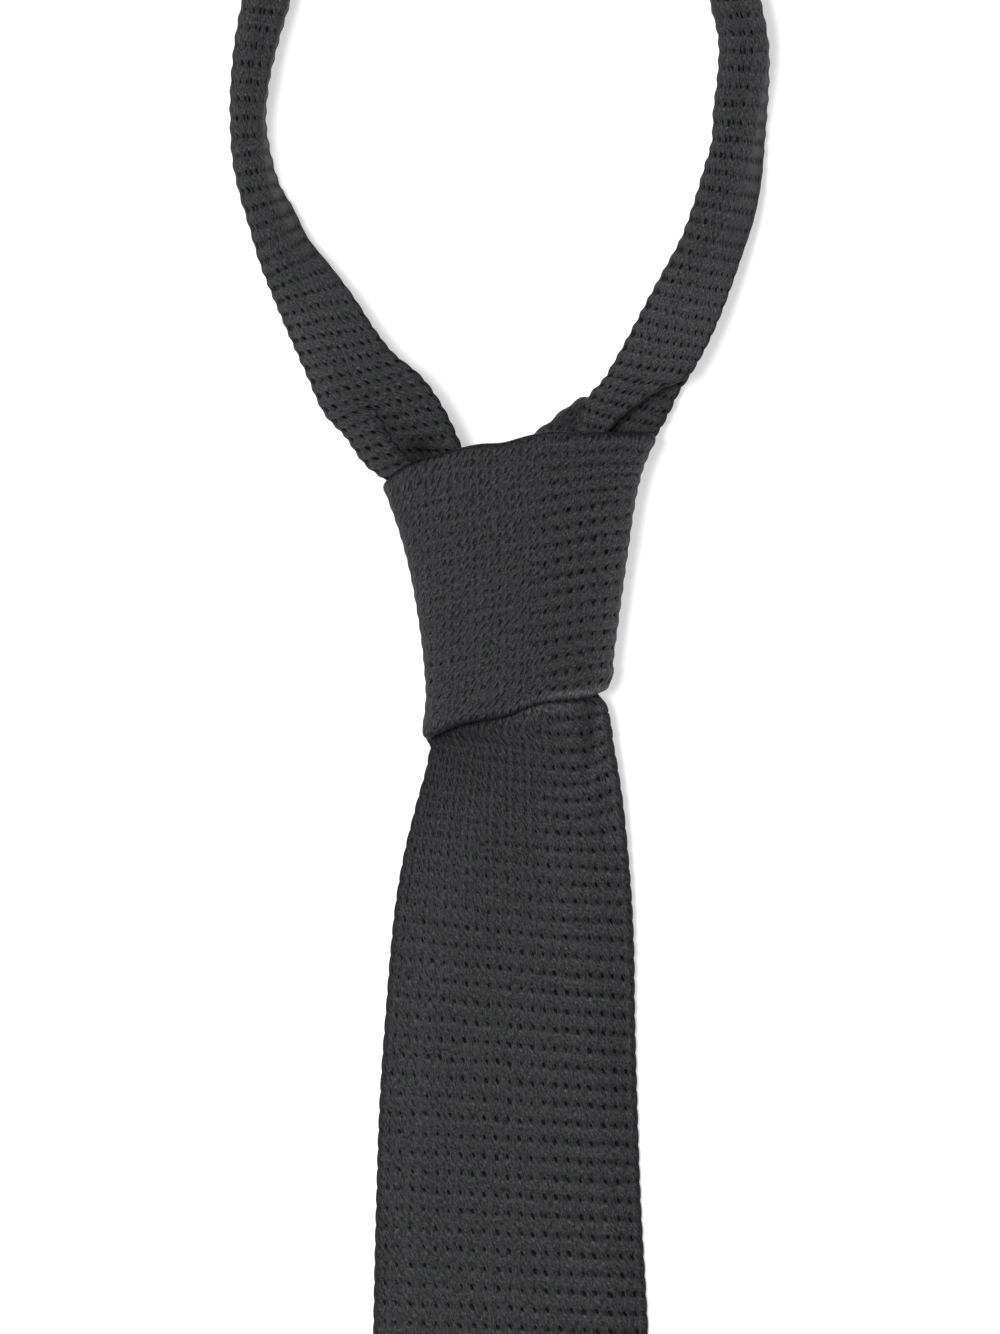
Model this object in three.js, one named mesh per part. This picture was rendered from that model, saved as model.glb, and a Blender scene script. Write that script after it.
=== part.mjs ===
// A knitted silk necktie, tied in a four-in-hand knot and laid flat, neck loop closed.
// Millimetres. X runs across, Y up from the knot to the nape, Z up from the surface.
// The origin is on the flat back of the knot, where it rests.
import * as THREE from "three";

// Cloth: a knitted tube pressed flat, so one wall is both its layers
const WALL = 2.6;
const GAP = 0.35;

// Knot: the wide end wrapped once round, seen as the front panel
const KNOT_WIDTH = 54.8;
const KNOT_HEIGHT = 51.6;
const KNOT_DEPTH = 20;
const KNOT_SQUARENESS = 3;
const KNOT_FOOT = 0.555;
const BACK_PRESS = 1.12;
const THROAT_ROOM = 0.92;

// Neck loop: the strip folded once along its length
const LOOP_WIDTH = 99;
const LOOP_RISE = 181.5;
const BAND_FLAT = 30;

// Front blade and the tail under it
const BLADE_WIDTH = 58;
const BLADE_LENGTH = 450;
const TAIL_WIDTH = 40;
const TAIL_LENGTH = 345;
const TAIL_STEP_LENGTH = 36;
const TAIL_STEP_MARGIN = 6;

// Fineness of the faceted forms
const KNOT_SIDES = 36;
const KNOT_STEPS = 9;
const FOLD_STEPS = 4;
const WALL_STEPS = 4;
const BAND_STEPS = 3;
const BLADE_STEPS = 4;
const TAIL_STEPS = 4;

// Room inside the knot
const HOLLOW_WIDTH = KNOT_WIDTH - 2 * (WALL + GAP);
const HOLLOW_DEPTH = KNOT_DEPTH - 2 * (WALL + GAP);
const LAYER = WALL + GAP;

// The knot's girth, from foot to top. left and right are shares of the width, depth of the depth.
const KNOT_ROWS = [
  { left: -0.321, right: 0.325, depth: 0.87 },
  { left: -0.331, right: 0.362, depth: 0.88 },
  { left: -0.333, right: 0.382, depth: 0.90 },
  { left: -0.352, right: 0.405, depth: 0.93 },
  { left: -0.378, right: 0.421, depth: 0.97 },
  { left: -0.415, right: 0.447, depth: 1.00 },
  { left: -0.478, right: 0.522, depth: 1.00 },
];

// The two slanted rims, from the left side to the right, as shares of the knot's height
const RIM_ROWS = [
  { foot: -0.601, top: 0.403 },
  { foot: -0.531, top: 0.523 },
  { foot: -0.483, top: 0.566 },
  { foot: -0.444, top: 0.593 },
  { foot: -0.411, top: 0.589 },
];

// The neck band, from its left end in the knot, round the nape, to its right end in the knot.
// inX and inY are shares of the room in the knot and of its height, loopX and loopY of the loop.
// seenIn and seen are the width from above, in shares of that room and of the flat band.
// roll turns the fold from the top to one side, thick opens it, dip is the pucker in its front,
// and back draws the outer layer's edge back, so that the inner layer shows past it.
const BAND_ROWS = [
  { inX: -0.255, inY: 0.245, seenIn: 0.235, roll: 84, thick: 0.17, lift: 1, dip: 0.1 },
  { inX: -0.295, inY: 0.365, seenIn: 0.25, roll: 84, thick: 0.2, lift: 1, dip: 0.3 },
  { inX: -0.36, inY: 0.49, seenIn: 0.275, roll: 82, thick: 0.24, lift: 1, dip: 0.5 },
  { inX: -0.4, inY: 0.607, loopX: -0.074, seen: 0.61, roll: 78, thick: 0.24, lift: 0.9, dip: 0.4 },
  { inX: -0.2, inY: 0.563, loopX: -0.438, loopY: 0.069, seen: 0.56, roll: 72, thick: 0.22, lift: 0.6 },
  { inY: 0.2, loopX: -0.792, loopY: 0.246, seen: 0.455, roll: 58, thick: 0.18, lift: 0.2 },
  { loopX: -0.972, loopY: 0.397, seen: 0.31, roll: 28, thick: 0.15 },
  { loopX: -1.067, loopY: 0.486, seen: 0.24, roll: 6, thick: 0.15 },
  { loopX: -1.065, loopY: 0.568, seen: 0.25 },
  { loopX: -1.006, loopY: 0.645, seen: 0.287 },
  { loopX: -0.865, loopY: 0.795, seen: 0.29 },
  { loopX: -0.535, loopY: 0.937, seen: 0.29 },
  { loopX: -0.075, loopY: 1, seen: 0.29 },
  { loopX: 0.385, loopY: 0.937, seen: 0.29 },
  { loopX: 0.725, loopY: 0.795, seen: 0.295 },
  { loopX: 0.889, loopY: 0.645, seen: 0.3 },
  { loopX: 0.921, loopY: 0.551, seen: 0.325, roll: -6, thick: 0.15 },
  { loopX: 0.885, loopY: 0.463, seen: 0.36, roll: -25, thick: 0.15 },
  { loopX: 0.778, loopY: 0.364, seen: 0.4, roll: -48, thick: 0.17, lift: 0.1 },
  { inY: 0.3, loopX: 0.624, loopY: 0.188, seen: 0.445, roll: -66, thick: 0.2, lift: 0.4, back: 0.05 },
  { inX: 0.13, inY: 0.563, loopX: 0.354, loopY: 0.05, seen: 0.45, roll: -76, thick: 0.2, lift: 1.1, back: 0.5 },
  { inX: 0.342, inY: 0.645, seenIn: 0.194, roll: -82, thick: 0.19, lift: 1.65, back: 0.6 },
  { inX: 0.3, inY: 0.5, seenIn: 0.145, roll: -84, thick: 0.2, lift: 1.35, back: 0.5 },
  { inX: 0.285, inY: 0.35, seenIn: 0.13, roll: -84, thick: 0.18, lift: 1.2, back: 0.4 },
];

// The throat, where the strip turns over the top of the knot: foot and crest of each section
const THROAT_ROWS = [
  { across: -0.14, foot: 0.33, crest: 0.475 },
  { across: -0.03, foot: 0.33, crest: 0.530 },
  { across: 0.07, foot: 0.33, crest: 0.590 },
  { across: 0.15, foot: 0.33, crest: 0.645 },
  { across: 0.225, foot: 0.33, crest: 0.700 },
];

// The front blade, from inside the knot to its square end.
// inUp is its height above the knot's foot, a share of the knot's, down its way below the foot.
// inLeft and inRight are shares of the room in the knot, left and right of the blade's width.
// under lifts it to the panel's underside, rest lifts it onto the tail, flat is its level middle.
const BLADE_ROWS = [
  { inUp: 0.875, inLeft: -0.18, inRight: 0.2, under: 0.98, crown: 0.06 },
  { inUp: 0.555, inLeft: -0.235, inRight: 0.255, under: 0.97, crown: 0.17, slant: 10 },
  { inUp: 0.305, inLeft: -0.235, inRight: 0.265, under: 0.97, crown: 0.24, slant: 14 },
  { inUp: 0.065, inLeft: -0.23, inRight: 0.245, under: 0.99, crown: 0.25, slant: 15 },
  { left: -0.28, right: 0.315, under: 0.92, rest: 0.05, crown: 0.25, flat: 0.05, ridge: 0.08, slant: 15 },
  { down: 0.032, left: -0.345, right: 0.355, under: 0.73, rest: 0.2, crown: 0.24, ridge: 0.07, slant: 10 },
  { down: 0.075, left: -0.4, right: 0.4, under: 0.43, rest: 0.6, crown: 0.2, flat: 0.4, slant: 4 },
  { down: 0.13, left: -0.443, right: 0.411, under: 0.15, rest: 0.9, crown: 0.17, flat: 0.6 },
  { down: 0.205, left: -0.478, right: 0.434, rest: 1, crown: 0.15, flat: 0.73 },
  { down: 0.3, left: -0.492, right: 0.466, rest: 1, crown: 0.15, flat: 0.73 },
  { down: 0.45, left: -0.5, right: 0.49, rest: 1, crown: 0.15, flat: 0.73 },
  { down: 0.58, left: -0.5, right: 0.5, rest: 1, crown: 0.15, flat: 0.73 },
  { down: 0.7, left: -0.5, right: 0.5, rest: 1, crown: 0.15, flat: 0.73 },
  { down: 0.8, left: -0.5, right: 0.5, rest: 1, crown: 0.15, flat: 0.73 },
  { down: 0.9, left: -0.5, right: 0.5, rest: 1, crown: 0.15, flat: 0.73 },
  { down: 1, left: -0.5, right: 0.5, rest: 1, crown: 0.15, flat: 0.73 },
];

// The tail, from inside the knot to its square end. lift is its height off the surface in layers.
const TAIL_ROWS = [
  { inUp: 0.755, inHalf: 0.2, lift: 1 },
  { inUp: 0.355, inHalf: 0.23, lift: 1 },
  { inUp: -0.065, inHalf: 0.235, lift: 1 },
  { inUp: -0.065, down: 0.035, inHalf: 0.24 },
  { inUp: -0.065, down: 0.09, half: 0.4 },
  { inUp: -0.065, down: 0.2, half: 0.43, shift: -0.03 },
  { inUp: -0.065, down: 0.4, half: 0.465, shift: -0.02 },
  { inUp: -0.065, down: 0.7, half: 0.48 },
  { inUp: -0.065, down: 1, half: 0.48 },
];

const BLADE_ACROSS = [
  -1, -0.91, -0.82, -0.73, -0.6, -0.4, -0.2, 0,
  0.2, 0.4, 0.52, 0.64, 0.73, 0.82, 0.91, 1,
];
const TAIL_ACROSS = [-1, -0.5, 0, 0.5, 1];
const RIDGE_PLACE = 0.64;
const RIDGE_SPREAD = 0.16;
const DIP_PLACE = 0.62;
const DIP_SPREAD = 0.28;

const radians = THREE.MathUtils.degToRad;

// A table read between its rows, on a smooth curve through each column. A column left out is 0.
function between(rows, t) {
  const last = rows.length - 1;
  const i = Math.min(Math.floor(t), last - 1);
  const f = t - i;
  const out = {};
  for (const key of new Set(rows.flatMap(Object.keys))) {
    const value = (k) => rows[Math.min(Math.max(k, 0), last)][key] ?? 0;
    const [a, b, c, d] = [value(i - 1), value(i), value(i + 1), value(i + 2)];
    const bend = 2 * a - 5 * b + 4 * c - d;
    const twist = 3 * b - a - 3 * c + d;
    out[key] = b + 0.5 * ((c - a) * f + bend * f * f + twist * f * f * f);
  }
  return out;
}

function stations(rows, steps) {
  const count = (rows.length - 1) * steps;
  return Array.from({ length: count + 1 }, (_, k) => between(rows, k / steps));
}

const share = (value) => THREE.MathUtils.clamp(value, 0, 1);

const ease = (value) => THREE.MathUtils.smoothstep(value, 0, 1);

const bump = (distance, spread) => Math.exp(-((distance / spread) ** 2));

// The direction that faces away from a grid of points at one of them
function faceNormal(grid, i, j, closed) {
  const rows = grid.length;
  const cols = grid[0].length;
  const kept = (k, count) => Math.min(Math.max(k, 0), count - 1);
  const at = (a, b) => grid[kept(a, rows)][closed ? (b + cols) % cols : kept(b, cols)];
  const along = at(i + 1, j).clone().sub(at(i - 1, j));
  const across = at(i, j + 1).clone().sub(at(i, j - 1));
  return across.cross(along).normalize();
}

// A sheet of cloth given by its middle surface, a row of points for each section, as one solid.
// closed joins each section's last point to its first.
function clothSolid(grid, closed = false) {
  const rows = grid.length;
  const cols = grid[0].length;
  const positions = [];
  for (const side of [0.5, -0.5]) {
    for (let i = 0; i < rows; i += 1) {
      for (let j = 0; j < cols; j += 1) {
        const offset = faceNormal(grid, i, j, closed).multiplyScalar(side * WALL);
        positions.push(...grid[i][j].clone().add(offset).toArray());
      }
    }
  }
  const front = (i, j) => i * cols + (j % cols);
  const back = (i, j) => rows * cols + front(i, j);
  const index = [];
  const quad = (a, b, c, d) => index.push(a, b, c, a, c, d);
  const spans = closed ? cols : cols - 1;
  for (let i = 0; i < rows - 1; i += 1) {
    for (let j = 0; j < spans; j += 1) {
      quad(front(i, j), front(i, j + 1), front(i + 1, j + 1), front(i + 1, j));
      quad(back(i, j), back(i + 1, j), back(i + 1, j + 1), back(i, j + 1));
    }
    if (!closed) {
      const end = cols - 1;
      quad(front(i, 0), front(i + 1, 0), back(i + 1, 0), back(i, 0));
      quad(front(i + 1, end), front(i, end), back(i, end), back(i + 1, end));
    }
  }
  const top = rows - 1;
  for (let j = 0; j < spans; j += 1) {
    quad(front(0, j + 1), front(0, j), back(0, j), back(0, j + 1));
    quad(front(top, j), front(top, j + 1), back(top, j + 1), back(top, j));
  }
  const geometry = new THREE.BufferGeometry();
  geometry.setAttribute("position", new THREE.Float32BufferAttribute(positions, 3));
  geometry.setIndex(index);
  geometry.computeVertexNormals();
  return geometry;
}

// The knot's depth at a height above its foot, a share of its own height
function knotDepth(up) {
  return between(KNOT_ROWS, share(up) * (KNOT_ROWS.length - 1)).depth * KNOT_DEPTH;
}

// The knot: a tapered sleeve with slanted rims, pressed flat where it rests
function knotPoint(up, angle) {
  const girth = between(KNOT_ROWS, up * (KNOT_ROWS.length - 1));
  const halfWidth = ((girth.right - girth.left) * KNOT_WIDTH - WALL) / 2;
  const middle = ((girth.right + girth.left) * KNOT_WIDTH) / 2;
  const depth = girth.depth * KNOT_DEPTH;
  const power = 2 / KNOT_SQUARENESS;
  const squared = (value) => Math.sign(value) * Math.abs(value) ** power;
  const across = squared(Math.cos(angle));
  const rise = squared(Math.sin(angle));
  const reach = rise > 0 ? (depth - WALL) / 2 : (depth * BACK_PRESS - WALL) / 2;
  const rim = between(RIM_ROWS, ((across + 1) / 2) * (RIM_ROWS.length - 1));
  const y = THREE.MathUtils.lerp(rim.foot, rim.top, up) * KNOT_HEIGHT;
  return new THREE.Vector3(middle + across * halfWidth, y, Math.max(WALL / 2, depth / 2 + rise * reach));
}

function knotWrap() {
  const grid = [];
  for (let i = 0; i <= KNOT_STEPS; i += 1) {
    const section = [];
    for (let j = 0; j < KNOT_SIDES; j += 1) {
      section.push(knotPoint(i / KNOT_STEPS, (2 * Math.PI * (j + 0.5)) / KNOT_SIDES));
    }
    grid.push(section);
  }
  return clothSolid(grid, true);
}

// A folded band's section, from one free edge over the fold to the other.
// Each point is its place across the band and its height.
function foldedSection(row, seen) {
  const roll = radians(row.roll);
  const lying = Math.abs(Math.sin(roll));
  const standing = Math.cos(roll);
  const depth = THREE.MathUtils.lerp(BAND_FLAT / 2, seen, lying);
  const half = ((seen - WALL) / 2) * standing + row.thick * HOLLOW_DEPTH * lying;
  const raw = [];
  for (let k = 0; k < WALL_STEPS; k += 1) {
    const along = THREE.MathUtils.lerp(depth, half, k / WALL_STEPS);
    const dip = row.dip * half * bump(along / depth - DIP_PLACE, DIP_SPREAD);
    raw.push([along, -half + dip]);
  }
  for (let k = 0; k <= FOLD_STEPS; k += 1) {
    const turn = (Math.PI * k) / FOLD_STEPS;
    raw.push([half - half * Math.sin(turn), -half * Math.cos(turn)]);
  }
  const outerDepth = depth - Math.max(0, row.back) * (depth - half);
  for (let k = WALL_STEPS - 1; k >= 0; k -= 1) {
    raw.push([THREE.MathUtils.lerp(outerDepth, half, k / WALL_STEPS), half]);
  }
  const turned = raw.map(([along, side]) => [
    -along * Math.sin(roll) + side * Math.cos(roll),
    -along * Math.cos(roll) - side * Math.sin(roll),
  ]);
  const places = turned.map((point) => point[0]);
  const low = Math.min(...places);
  const high = Math.max(...places);
  const room = seen - (WALL * (1 + standing)) / 2;
  const shift = (WALL / 4) * Math.sin(roll);
  const floor = Math.min(...turned.map((point) => point[1]));
  const base = Math.max(0, row.lift) * LAYER + (WALL / 2) * lying;
  return turned.map(([place, height]) => [
    ((place - (low + high) / 2) * room) / (high - low) - shift,
    height - floor + base,
  ]);
}

function neckBand() {
  const rows = stations(BAND_ROWS, BAND_STEPS);
  const centres = rows.map((row) => new THREE.Vector2(
    row.inX * HOLLOW_WIDTH + (row.loopX * LOOP_WIDTH) / 2,
    row.inY * KNOT_HEIGHT + row.loopY * LOOP_RISE,
  ));
  const grid = rows.map((row, i) => {
    const before = centres[Math.max(i - 1, 0)];
    const after = centres[Math.min(i + 1, rows.length - 1)];
    const along = after.clone().sub(before).normalize();
    const outward = new THREE.Vector2(-along.y, along.x);
    const seen = row.seenIn * HOLLOW_WIDTH + row.seen * BAND_FLAT;
    return foldedSection(row, seen).map(([place, height]) => new THREE.Vector3(
      centres[i].x + outward.x * place,
      centres[i].y + outward.y * place,
      height,
    ));
  });
  return clothSolid(grid);
}

// The throat: a short turn of the strip over the top of the knot
function knotThroat() {
  const low = LAYER + WALL / 2;
  const high = low + THROAT_ROOM * (KNOT_DEPTH - LAYER - WALL / 2 - low);
  const radius = (high - low) / 2;
  const grid = THROAT_ROWS.map((row) => {
    const x = row.across * HOLLOW_WIDTH;
    const foot = row.foot * KNOT_HEIGHT;
    const shoulder = Math.max(row.crest * KNOT_HEIGHT - WALL / 2 - radius, foot + WALL / 2);
    const section = [new THREE.Vector3(x, foot, low)];
    const crest = row.crest * KNOT_HEIGHT - WALL / 2 - shoulder;
    for (let k = 0; k <= 2 * FOLD_STEPS; k += 1) {
      const turn = (Math.PI * k) / (2 * FOLD_STEPS);
      const y = shoulder + crest * Math.sin(turn);
      section.push(new THREE.Vector3(x, y, low + radius * (1 - Math.cos(turn))));
    }
    section.push(new THREE.Vector3(x, foot, high));
    return section;
  });
  return clothSolid(grid);
}

// How far a blade's middle surface has dropped, from its level middle to its edge
function edgeDrop(across, flat) {
  return ease((Math.abs(across) - flat) / (1 - flat));
}

function frontBlade() {
  const tailEnd = (TAIL_ROWS.at(-1).inUp - KNOT_FOOT) * KNOT_HEIGHT - TAIL_LENGTH;
  const grid = stations(BLADE_ROWS, BLADE_STEPS).map((row) => {
    const left = row.inLeft * HOLLOW_WIDTH + row.left * BLADE_WIDTH;
    const right = row.inRight * HOLLOW_WIDTH + row.right * BLADE_WIDTH;
    const y = (row.inUp - KNOT_FOOT) * KNOT_HEIGHT - row.down * BLADE_LENGTH;
    const onTail = 1 - ease((tailEnd - TAIL_STEP_MARGIN - y) / TAIL_STEP_LENGTH);
    const under = share(row.under);
    const raised = under * (knotDepth(row.inUp) - LAYER - WALL / 2);
    const top = raised + share(row.rest) * onTail * LAYER + (1 - under) * (WALL / 2);
    const crown = Math.min(row.crown * KNOT_DEPTH, top - WALL / 2);
    return BLADE_ACROSS.map((across) => {
      const x = THREE.MathUtils.lerp(left, right, (across + 1) / 2);
      const ridge = row.ridge * KNOT_DEPTH * bump(across - RIDGE_PLACE, RIDGE_SPREAD);
      const z = top - crown * edgeDrop(across, row.flat) + ridge;
      return new THREE.Vector3(x, y + x * Math.tan(radians(row.slant)), z);
    });
  });
  return clothSolid(grid);
}

function tailBlade() {
  const grid = stations(TAIL_ROWS, TAIL_STEPS).map((row) => {
    const half = row.inHalf * HOLLOW_WIDTH + row.half * TAIL_WIDTH;
    const y = (row.inUp - KNOT_FOOT) * KNOT_HEIGHT - row.down * TAIL_LENGTH;
    const z = WALL / 2 + share(row.lift) * LAYER;
    return TAIL_ACROSS.map((across) => new THREE.Vector3(row.shift * TAIL_WIDTH + across * half, y, z));
  });
  return clothSolid(grid);
}

function piece(name, geometry) {
  const material = new THREE.MeshStandardMaterial({ color: "#3a3a3c", roughness: 0.85, metalness: 0 });
  const mesh = new THREE.Mesh(geometry, material);
  mesh.name = name;
  return mesh;
}

const necktie = new THREE.Group();
necktie.add(
  piece("knot_wrap", knotWrap()),
  piece("knot_throat", knotThroat()),
  piece("neck_band", neckBand()),
  piece("front_blade", frontBlade()),
  piece("tail_blade", tailBlade()),
);

export default necktie;
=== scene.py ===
"""A knitted silk necktie, tied in a four-in-hand knot and laid flat on a pale floor.

The cloth is worked out in millimetres on the stitches of the knit and stored in metres, in the
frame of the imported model: X across, Y up from the knot to the nape, Z up from the floor.
"""

import math

import bpy
import numpy as np
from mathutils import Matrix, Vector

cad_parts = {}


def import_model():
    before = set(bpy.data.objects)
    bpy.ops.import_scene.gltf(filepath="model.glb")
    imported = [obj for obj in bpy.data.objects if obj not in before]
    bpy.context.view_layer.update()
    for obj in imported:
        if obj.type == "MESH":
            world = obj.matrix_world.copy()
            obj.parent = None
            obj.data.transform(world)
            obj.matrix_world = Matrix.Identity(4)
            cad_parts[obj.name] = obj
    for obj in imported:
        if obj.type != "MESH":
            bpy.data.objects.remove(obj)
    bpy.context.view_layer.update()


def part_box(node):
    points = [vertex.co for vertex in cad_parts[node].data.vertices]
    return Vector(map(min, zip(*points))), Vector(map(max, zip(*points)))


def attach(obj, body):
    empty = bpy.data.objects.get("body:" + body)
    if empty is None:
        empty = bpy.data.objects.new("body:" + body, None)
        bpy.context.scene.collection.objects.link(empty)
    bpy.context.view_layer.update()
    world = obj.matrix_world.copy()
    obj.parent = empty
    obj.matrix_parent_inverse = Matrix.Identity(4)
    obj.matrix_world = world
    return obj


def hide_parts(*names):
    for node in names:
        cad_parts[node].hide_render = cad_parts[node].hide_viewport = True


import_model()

# The cloth's thickness, and how much higher each layer over another lies
MM = 0.001
WALL = 2.6
LAYER = 2.95

# The knit: wales are columns of stitches along the strip, courses are rows across it. A ridge runs
# between the courses, the edges swell out in scallops and gathered cloth stands up in ribs
WALE = 2.72
COURSE = 3.78
RIDGE = 0.13
LEAST_RIDGE = 0.5
EYELET_DEPTH = 0.6
EYELET_HALF = 0.14
EDGE_OPEN = 0.5
SCALLOP = 0.2
SCALLOP_POWER = 0.7
SWELL = 0.02
RIB = 0.16

# Vertices for each stitch, across and along, on the face, and the back's stride over them. A closed
# end steps along by END_STEPS, which are shares of half the wall
ACROSS = 5
ALONG = 6
FAR_ALONG = 4
BACK_SKIP = 5
EDGE_STEPS = 5
END_STEPS = np.array([1.0, 0.5, 0.15, 0.0])
END_THIN = 0.25

# The cloth stays FLOOR_CLEAR above the floor. Painted shade darkens its yarn to SIDE_TONE as it turns
# down, from an upward share of SIDE_SOFT on its faces and EDGE_SOFT on its edges, and the yarn is
# lighter again by UPRIGHT_TONE where it stands upright. A painted highlight is strongest on slopes
# whose upward share is GLOW_AT, and those that look left have a LEFT_GLOW share of it
FLOOR_CLEAR = 0.03
SIDE_TONE = 0.1
SIDE_SOFT = 0.5
UPRIGHT_TONE = 0.6
UPRIGHT_SOFT = 0.25
EDGE_SOFT = 1.5
LEFT_GLOW = 0.35
GLOW_AT = 0.8
GLOW_WIDE = 0.18


def corners(node):
    """A node's lowest and highest corner, in millimetres."""
    low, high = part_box(node)
    return np.array(low) / MM, np.array(high) / MM


BLADE_LOW, BLADE_HIGH = corners("front_blade")
TAIL_LOW, TAIL_HIGH = corners("tail_blade")


def as_table(names, values):
    """A table with a name for each of its columns. A row may leave out its last ones."""
    return [dict(zip(names, row)) for row in values]


def read(table, key, column, at):
    """A column of a table read between its rows, on a smooth curve. A column left out is 0."""
    places = np.array([row[key] for row in table], float)
    values = np.array([row.get(column, 0.0) for row in table], float)
    slopes = np.gradient(values, places)
    at = np.clip(np.asarray(at, float), places[0], places[-1])
    i = np.clip(np.searchsorted(places, at, side="right") - 1, 0, len(places) - 2)
    width = places[i + 1] - places[i]
    t = (at - places[i]) / width
    rise = values[i + 1] - values[i]
    a = slopes[i] * width
    b = slopes[i + 1] * width
    return values[i] + t * a + t * t * (3 * rise - 2 * a - b) + t * t * t * (a + b - 2 * rise)


def ease(value):
    """From 0 to 1 with a smooth start and end."""
    value = np.clip(value, 0, 1)
    return value * value * (3 - 2 * value)


def lerp(a, b, t):
    """From a to b by a share t."""
    return a + (b - a) * t


def unit(vectors):
    """The vectors at a length of 1."""
    return vectors / np.maximum(np.linalg.norm(vectors, axis=-1, keepdims=True), 1e-9)


def slopes_of(grid, axis, closed):
    """The step from one point of a grid to the next, centred, along one axis."""
    if closed:
        return np.roll(grid, -1, axis) - np.roll(grid, 1, axis)
    return np.gradient(grid, axis=axis)


def relief(course, wale, openness, gather, ridged):
    """How far the knit stands out: ridges between the courses, a pit at each eyelet.

    Where the cloth is gathered its wales stand up in ribs instead.
    """
    ridge = -RIDGE * (LEAST_RIDGE + ridged) * (1 - gather) * np.cos(2 * math.pi * course)
    ridge = ridge - RIB * gather * np.cos(2 * math.pi * wale)
    off_course = course - np.round(course)
    off_wale = wale - np.round(wale)
    pit = np.exp(-(off_course**2 + off_wale**2) / (2 * EYELET_HALF**2))
    return ridge - EYELET_DEPTH * openness * pit


def painted_facing_shading(outward, glow, soft):
    """Painted shade by the way the cloth faces: dark where it turns down, less so where it stands upright,
    with a painted highlight on slopes.
    """
    up = np.abs(outward[..., 2])
    dark = lerp(SIDE_TONE, 1, ease(up / soft)) + UPRIGHT_TONE * (1 - ease(up / UPRIGHT_SOFT))
    facing = np.clip(outward[..., 0], 0, 1) + LEFT_GLOW * np.clip(-outward[..., 0], 0, 1)
    return dark * (1 + glow * facing * np.exp(-(((up - GLOW_AT) / GLOW_WIDE) ** 2)))


# A soft oval: its middle, its half sizes, how far it is turned in degrees and how much it takes away
OVAL = ("x", "y", "long", "short", "turn", "depth")


def shading(x, y, ovals):
    """The painted light and shade under some ovals, each deepest in its middle. Depth below 0 is painted
    light; the knot's open corner reuses it as a share of its eyelets' size.
    """
    painted_shading = np.ones_like(x)
    for oval in ovals:
        turn = math.radians(oval["turn"])
        along = (x - oval["x"]) * math.cos(turn) + (y - oval["y"]) * math.sin(turn)
        aside = (y - oval["y"]) * math.cos(turn) - (x - oval["x"]) * math.sin(turn)
        inside = np.exp(-((along / oval["long"]) ** 2) - (aside / oval["short"]) ** 2)
        painted_shading = painted_shading * (1 - oval["depth"] * inside)
    return painted_shading


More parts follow.
